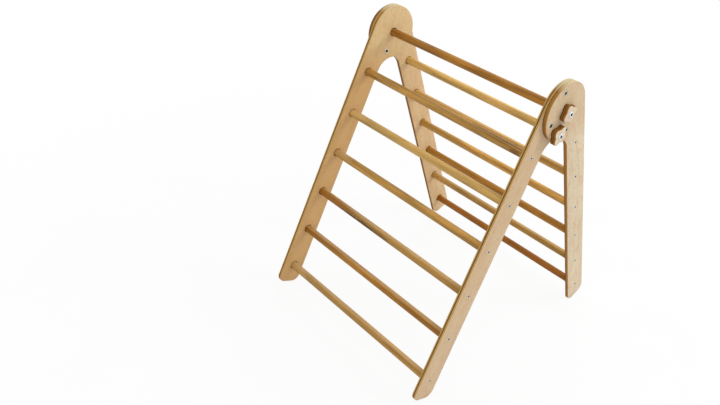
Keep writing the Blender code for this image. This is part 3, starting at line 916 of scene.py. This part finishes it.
# Painted light: a paler left end and a painted highlight along the top of some rungs
painted_end_light = Mark(
    x=-0.31, reach=0.070, y=-0.35, z=0.94, rim=0.40, softness=0.80, share=0.36, tone="rung_painted_light"
)
rung_top_highlight = Mark(
    x=0.0, reach=0.600, y=0.20, z=0.98, rim=0.82, softness=0.30, share=0.34, tone="rung_painted_light"
)
rung_looks = {
    "front_rung_1": RungLook("rung_brown", 1.00, 0.45, (shade_at_left,)),
    "front_rung_2": RungLook("rung_golden", 0.97, 0.55, (knot_at_end,)),
    "front_rung_3": RungLook("rung_pale", 0.92, 0.08, (painted_end_light,)),
    "front_rung_4": RungLook("rung_golden", 0.97, 0.22, (painted_end_light,)),
    "front_rung_5": RungLook("rung_golden", 0.72, 0.20, (rung_top_highlight, brown_flank, dark_streak)),
    "front_rung_6": RungLook("rung_brown", 0.91, 0.25, (rung_top_highlight,)),
    "front_rung_7": RungLook("rung_golden", 0.83, 0.15, (painted_end_light, rung_top_highlight)),
    "rear_rung_1": RungLook("rung_pale", 1.01, 0.08, ()),
    "rear_rung_2": RungLook("rung_golden", 1.17, 0.20, (knot_on_side, rung_top_highlight)),
    "rear_rung_3": RungLook("rung_golden", 1.26, 0.15, ()),
    "rear_rung_4": RungLook("rung_brown", 1.03, 0.20, ()),
    "rear_rung_5": RungLook("rung_golden", 0.86, 0.20, (rung_top_highlight,)),
    "rear_rung_6": RungLook("rung_dark", 1.00, 0.25, ()),
}


def build_rung(name, look, seed):
    """Build a rung with a bore in each end."""
    size = sizes()
    centre = middle(name)
    reach = extent(name).x / 2
    radius = extent(name).z / 2
    is_head_rung = name == "front_rung_1"
    bore = (size.bolt_hole_diameter if is_head_rung else size.screw_hole_diameter) / 2
    depth = size.head_rung_bore_depth if is_head_rung else size.rung_bore_depth
    half = [(0.0, reach - depth), (bore, reach - depth), (bore, reach), (radius, reach)]
    profile = [(rim, -height) for rim, height in half] + list(reversed(half))
    work = bmesh.new()
    spun(work, profile, 0.0, centre, 1.0, round_steps)
    close(work)
    rims = rims_at(work, -reach, centre, radius) + rims_at(work, reach, centre, radius)
    round_edges(work, rims, size.rung_rounding, board_rounding_steps)
    material = rung_wood(name + "_oiled", centre, radius, look, seed)
    stand_for(finished(name + "_dowel", work, [material]), name)


class TRIANGLE_OT_rungs(bpy.types.Operator):
    """Build the thirteen oiled rungs"""

    bl_idname = "triangle.rungs"
    bl_label = "Rungs"

    def execute(self, context):
        for count, (name, look) in enumerate(rung_looks.items()):
            build_rung(name, look, rung_seed_step * count)
        return {"FINISHED"}


# Each arm of a cross has two outer corners and shares one inner corner. The taper is the width of
# the cross at its bottom against that at its mouth
points_per_arm = 3
cross_points = 4 * points_per_arm
cross_taper = 0.70


def star_cutter(x, centre, hand, turn):
    """Return the cutter of a cross recess that narrows to its bottom."""
    size = sizes()
    work = bmesh.new()
    bmesh.ops.create_circle(work, cap_ends=True, radius=size.cross_reach, segments=cross_points)
    step = full_turn / cross_points
    for vert in work.verts:
        bearing = math.atan2(vert.co.y, vert.co.x)
        if round(bearing / step) % points_per_arm == 0:
            radius = size.cross_width / math.sqrt(2)
            angle = bearing
        else:
            arm = round((bearing - quarter_turn / 2) / quarter_turn) * quarter_turn + quarter_turn / 2
            offset = math.asin(size.cross_width / 2 / size.cross_reach)
            angle = arm + math.copysign(offset, math.remainder(bearing - arm, full_turn))
            radius = size.cross_reach
        vert.co = (radius * math.cos(angle), radius * math.sin(angle), 0.0)
    bottom, _ = push(work, list(work.faces), (0.0, 0.0, -size.cross_depth))
    bmesh.ops.scale(work, verts=bottom, vec=(cross_taper, cross_taper, 1.0))
    mouth = [vert for vert in work.verts if vert not in bottom]
    bmesh.ops.translate(work, verts=mouth, vec=(0.0, 0.0, size.cross_depth / 4))
    bmesh.ops.recalc_face_normals(work, faces=work.faces)
    turned = Matrix.Rotation(hand * quarter_turn, 4, "Y") @ Matrix.Rotation(turn, 4, "Z")
    stand = Matrix.Translation((x, centre.y, centre.z)) @ turned
    bmesh.ops.transform(work, matrix=stand, verts=work.verts)
    return work


# Width of a screw's blunt point against its shank
screw_point_share = 0.25


def build_screw(name, turn):
    """Build a countersunk screw with its cross turned by an angle."""
    size = sizes()
    shank = size.screw_shank_diameter / 2
    low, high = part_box(name)
    hand, _, top = ends(low, high)
    centre = middle(name)
    reach = extent(name).x
    head = extent(name).z / 2
    profile = [
        (0.0, -reach),
        (shank * screw_point_share, -reach),
        (shank, size.screw_point_length - reach),
        (shank, -size.screw_head_depth),
        (head, -size.screw_head_rim),
        (head, 0.0),
        (0.0, 0.0),
    ]
    work = bmesh.new()
    spun(work, profile, top, centre, hand, small_steps)
    close(work)
    piece = finished(name + "_cross_head", work, plated_metal(name, colours().zinc))
    subtract(piece, star_cutter(top, centre, hand, turn), recess_shade_slot)
    stand_for(piece, name)


class TRIANGLE_OT_screws(bpy.types.Operator):
    """Build the countersunk screws that hold the rungs"""

    bl_idname = "triangle.screws"
    bl_label = "Rung Screws"

    def execute(self, context):
        names = sorted(name for name in frame["nodes"] if "_screw_" in name)
        for count, name in enumerate(names):
            build_screw(name, screw_turn_step * count)
        return {"FINISHED"}


def hex_cutter(x, centre, inwards):
    """Return the cutter of a hexagon socket with a widened mouth, sunk inwards from a face at x."""
    size = sizes()
    work = bmesh.new()
    bmesh.ops.create_circle(work, cap_ends=True, radius=size.hex_width / math.sqrt(3), segments=6)
    bmesh.ops.translate(work, verts=work.verts, vec=(0.0, 0.0, -size.hex_depth))
    mouth = list(work.faces)
    # Up to the foot of the mouth, then on past the face by the mouth's own depth
    for rise, scale in (
        (size.hex_depth - size.hex_mouth_depth, 1.0),
        (2 * size.hex_mouth_depth, 2 * size.hex_mouth_scale - 1),
    ):
        verts, mouth = push(work, mouth, (0.0, 0.0, rise))
        bmesh.ops.scale(work, verts=verts, vec=(scale, scale, 1.0))
    bmesh.ops.recalc_face_normals(work, faces=work.faces)
    turned = Matrix.Rotation(-inwards * quarter_turn, 4, "Y")
    stand = Matrix.Translation((x, centre.y, centre.z)) @ turned
    bmesh.ops.transform(work, matrix=stand, verts=work.verts)
    return work


# Where one lobe of each knob points, in degrees from +Y towards +Z
knob_turns = {
    "pivot_knob_right": 29.0,
    "lock_knob_right": 55.0,
    "pivot_knob_left": 47.5,
    "lock_knob_left": 52.5,
}


def build_knob(name, degrees):
    """Build a scalloped knob with one lobe turned by some degrees, and its bolt's hole."""
    size = sizes()
    colour = colours()
    low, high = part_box(name)
    hand, _, _ = ends(low, high)
    bolt = middle(name.replace("knob", "bolt"))
    centre = Vector(((low.x + high.x) / 2, bolt.y, bolt.z))
    thickness = high.x - low.x
    ladder = "front" if name.startswith("pivot") else "rear"
    mean = size.knob_mean_radius
    work = bmesh.new()
    bmesh.ops.create_circle(work, cap_ends=True, radius=mean, segments=knob_steps)
    for vert in work.verts:
        angle = math.atan2(vert.co.y, vert.co.x)
        wave = math.cos(size.knob_lobes * (angle - math.radians(degrees)))
        vert.co *= 1.0 + size.knob_lobe_depth * wave / mean
    push(work, list(work.faces), (0.0, 0.0, thickness))
    bmesh.ops.translate(work, verts=work.verts, vec=(0.0, 0.0, -thickness / 2))
    round_board(work, axis=2, width=size.knob_rounding, segments=fine_rounding_steps)
    # The circle's X and Y become the world's Y and Z
    stand = Matrix(((0.0, 0.0, 1.0), (1.0, 0.0, 0.0), (0.0, 1.0, 0.0))).to_4x4()
    bmesh.ops.transform(work, matrix=Matrix.Translation(centre) @ stand, verts=work.verts)
    face = colour.knob_face
    # The turn also places the knob in the pattern of its sheet
    materials = [
        birch_face(name + "_birch", ladder, tuple(centre), face, face, degrees),
        sheet_edge(name + "_plies", ladder, tuple(centre), thickness, colour.knob_ply, knob_edge),
        shaded_hole_wood(name + "_hole"),
    ]
    piece = finished(name + "_scallop", work, materials)
    cutter = bmesh.new()
    hole = plain_hole(size.bolt_hole_diameter / 2, -thickness, thickness)
    spun(cutter, hole, centre.x, centre, hand, round_steps)
    close(cutter)
    subtract(piece, cutter, drilled_slot)
    stand_for(piece, name)


class TRIANGLE_OT_knobs(bpy.types.Operator):
    """Build the four scalloped knobs"""

    bl_idname = "triangle.knobs"
    bl_label = "Scalloped Knobs"

    def execute(self, context):
        for name, degrees in knob_turns.items():
            build_knob(name, degrees)
        return {"FINISHED"}


def build_fitting(name):
    """Build a bolt, a sleeve nut or a bushing; the face is its outer end, or a nut's inner one."""
    size = sizes()
    bolt = size.bolt_diameter / 2
    bore = size.bolt_hole_diameter / 2
    sleeve = size.sleeve_diameter / 2
    low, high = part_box(name)
    hand, inner, face = ends(low, high)
    inwards = -hand
    centre = middle(name)
    reach = high.x - low.x
    radius = (high.z - low.z) / 2
    is_bushing = "lock_bushing" in name
    if is_bushing:
        flange = size.flange_depth
        rounding = size.flange_rounding
        profile = [
            (radius, 0.0), (radius, -flange), (sleeve, -flange), (sleeve, -reach),
            (bore, -reach), (bore, 0.0),
        ]
    elif "lock_nut" in name:
        head = size.nut_head_depth
        rounding = size.nut_head_rounding
        face = inner
        inwards = hand
        depth = reach - size.nut_bore_depth
        profile = [
            (0.0, 0.0), (radius, 0.0), (radius, head), (sleeve, head), (sleeve, reach),
            (bore, reach), (bore, depth), (0.0, depth),
        ]
    else:
        tip = size.bolt_tip
        head = size.bolt_head_depth
        rounding = size.bolt_head_rounding
        profile = [
            (0.0, -reach), (bolt - tip, -reach), (bolt, tip - reach), (bolt, -head),
            (radius, -head), (radius, 0.0), (0.0, 0.0),
        ]
    work = bmesh.new()
    spun(work, profile, face, centre, hand, round_steps)
    close(work)
    # The bushings' bores take the painted shade, but for the wide place's, which the light reaches
    shaded_bore = is_bushing and not name.endswith("_wide")
    for side in work.faces:
        in_bore = off_axis(side.calc_center_median(), centre) < bore
        side.material_index = recess_shade_slot if shaded_bore and in_bore else 0
    round_edges(work, rims_at(work, face, centre, radius), rounding, fine_rounding_steps)
    zinc = colours().dull_zinc if is_bushing else colours().zinc
    piece = finished(name + "_plated", work, plated_metal(name, zinc))
    if not is_bushing:
        subtract(piece, hex_cutter(face, centre, inwards), recess_shade_slot)
    stand_for(piece, name)


class TRIANGLE_OT_fittings(bpy.types.Operator):
    """Build the bolts, the sleeve nuts and the bushings"""

    bl_idname = "triangle.fittings"
    bl_label = "Bolts, Nuts and Bushings"

    def execute(self, context):
        for name in sorted(frame["nodes"]):
            if any(kind in name for kind in ("_bolt_", "lock_nut_", "lock_bushing_")):
                build_fitting(name)
        return {"FINISHED"}


def lamp(name, place, width, power):
    """Add a soft square lamp that faces the lamps' target."""
    data = bpy.data.lights.new(name, "AREA")
    data.shape = "SQUARE"
    data.size = width
    data.energy = power
    made = bpy.data.objects.new(name, data)
    made.location = place
    way = Vector(stage().lamp_target) - Vector(place)
    made.rotation_euler = way.to_track_quat("-Z", "Y").to_euler()
    bpy.context.scene.collection.objects.link(made)


def white_to_the_eye(tree, lit, output, white_share):
    """Join a shader to an output, mixed with plain white where the camera, gloss or glass sees it."""
    path = node(tree, "ShaderNodeLightPath")
    seen = math_of(tree, "MAXIMUM", path.outputs["Is Camera Ray"], path.outputs["Is Glossy Ray"])
    seen = math_of(tree, "MAXIMUM", seen, path.outputs["Is Transmission Ray"])
    white = node(tree, "ShaderNodeEmission", {"Color": (1.0, 1.0, 1.0), "Strength": 1.0})
    share = math_of(tree, "MULTIPLY", seen, white_share)
    mix = node(tree, "ShaderNodeMixShader", {0: share, 1: lit, 2: white.outputs[0]})
    tree.links.new(mix.outputs[0], output)


class TRIANGLE_OT_stage(bpy.types.Operator):
    """Build the camera, the floor, the white surroundings and the lamps"""

    bl_idname = "triangle.stage"
    bl_label = "Stage"

    def execute(self, context):
        look = stage()
        colour = colours()
        data = bpy.data.cameras.new("camera")
        data.lens = look.focal_length
        data.sensor_width = 36.0
        data.shift_x, data.shift_y = look.camera_shift
        data.clip_start = 0.01
        data.clip_end = 200.0
        camera = bpy.data.objects.new("camera", data)
        camera.location = look.camera_place
        camera.rotation_euler = look.camera_turn
        context.scene.collection.objects.link(camera)
        context.scene.camera = camera

        work = bmesh.new()
        bmesh.ops.create_grid(work, x_segments=1, y_segments=1, size=look.floor_size / 2)
        material, tree, shader = new_material("floor_pale")
        place = place_in_frame(tree)
        tone, _ = layered(tree, place, floor_clouds, colour.floor, colour.floor_cloud)
        dress(tree, shader, tone, roughness=0.80, specular=0.10)
        output = tree.nodes["Material Output"].inputs["Surface"]
        distance = node(tree, "ShaderNodeVectorMath", {0: place}, operation="LENGTH").outputs["Value"]
        white = remap(tree, distance, look.floor_near, look.floor_far, look.floor_white_share, 1.0)
        white_to_the_eye(tree, shader.outputs[0], output, white)
        floor = finished("floor", work, [material])

        world = bpy.data.worlds.new("white_room")
        world.use_nodes = True
        context.scene.world = world
        tree = world.node_tree
        sky = tree.nodes["Background"]
        sky.inputs["Color"].default_value = (1.0, 1.0, 1.0, 1.0)
        sky.inputs["Strength"].default_value = look.sky_strength
        white_to_the_eye(tree, sky.outputs[0], tree.nodes["World Output"].inputs["Surface"], 1.0)

        lamp("key_lamp", look.key_place, look.key_size, look.key_power)
        lamp("fill_lamp", look.fill_place, look.fill_size, look.fill_power)
        lamp("rim_lamp", look.rim_place, look.rim_size, look.rim_power)
        lamp("top_lamp", look.top_place, look.top_size, look.top_power)
        context.scene.view_settings.view_transform = "Standard"
        return {"FINISHED"}


class TRIANGLE_PT_build(bpy.types.Panel):
    """Lists the steps and the values of the climbing triangle"""

    bl_idname = "TRIANGLE_PT_build"
    bl_label = "Climbing Triangle"
    bl_space_type = "VIEW_3D"
    bl_region_type = "UI"
    bl_category = "Triangle"

    def draw(self, context):
        column = self.layout.column(align=True)
        for operator in operators:
            column.operator(operator.bl_idname)
        for holder, group in groups.items():
            box = self.layout.box().column()
            for name in group.__annotations__:
                box.prop(getattr(context.scene, holder), name)


operators = (
    TRIANGLE_OT_stage,
    TRIANGLE_OT_panels,
    TRIANGLE_OT_rungs,
    TRIANGLE_OT_screws,
    TRIANGLE_OT_knobs,
    TRIANGLE_OT_fittings,
)
groups = {
    "triangle_sizes": TriangleSizes,
    "triangle_colours": TriangleColours,
    "triangle_stage": TriangleStage,
}


def register():
    """Register the classes and hang the settings on the scene."""
    for group in groups.values():
        bpy.utils.register_class(group)
    for operator in operators:
        bpy.utils.register_class(operator)
    bpy.utils.register_class(TRIANGLE_PT_build)
    for name, group in groups.items():
        setattr(bpy.types.Scene, name, bpy.props.PointerProperty(type=group))


def unregister():
    """Take the settings and the classes away again."""
    for name in groups:
        delattr(bpy.types.Scene, name)
    bpy.utils.unregister_class(TRIANGLE_PT_build)
    for operator in reversed(operators):
        bpy.utils.unregister_class(operator)
    for group in reversed(groups.values()):
        bpy.utils.unregister_class(group)


def main():
    """Build the climbing triangle and its stage."""
    register()
    bpy.ops.triangle.stage()
    bpy.ops.triangle.panels()
    bpy.ops.triangle.rungs()
    bpy.ops.triangle.screws()
    bpy.ops.triangle.knobs()
    bpy.ops.triangle.fittings()


if __name__ == "__main__":
    main()
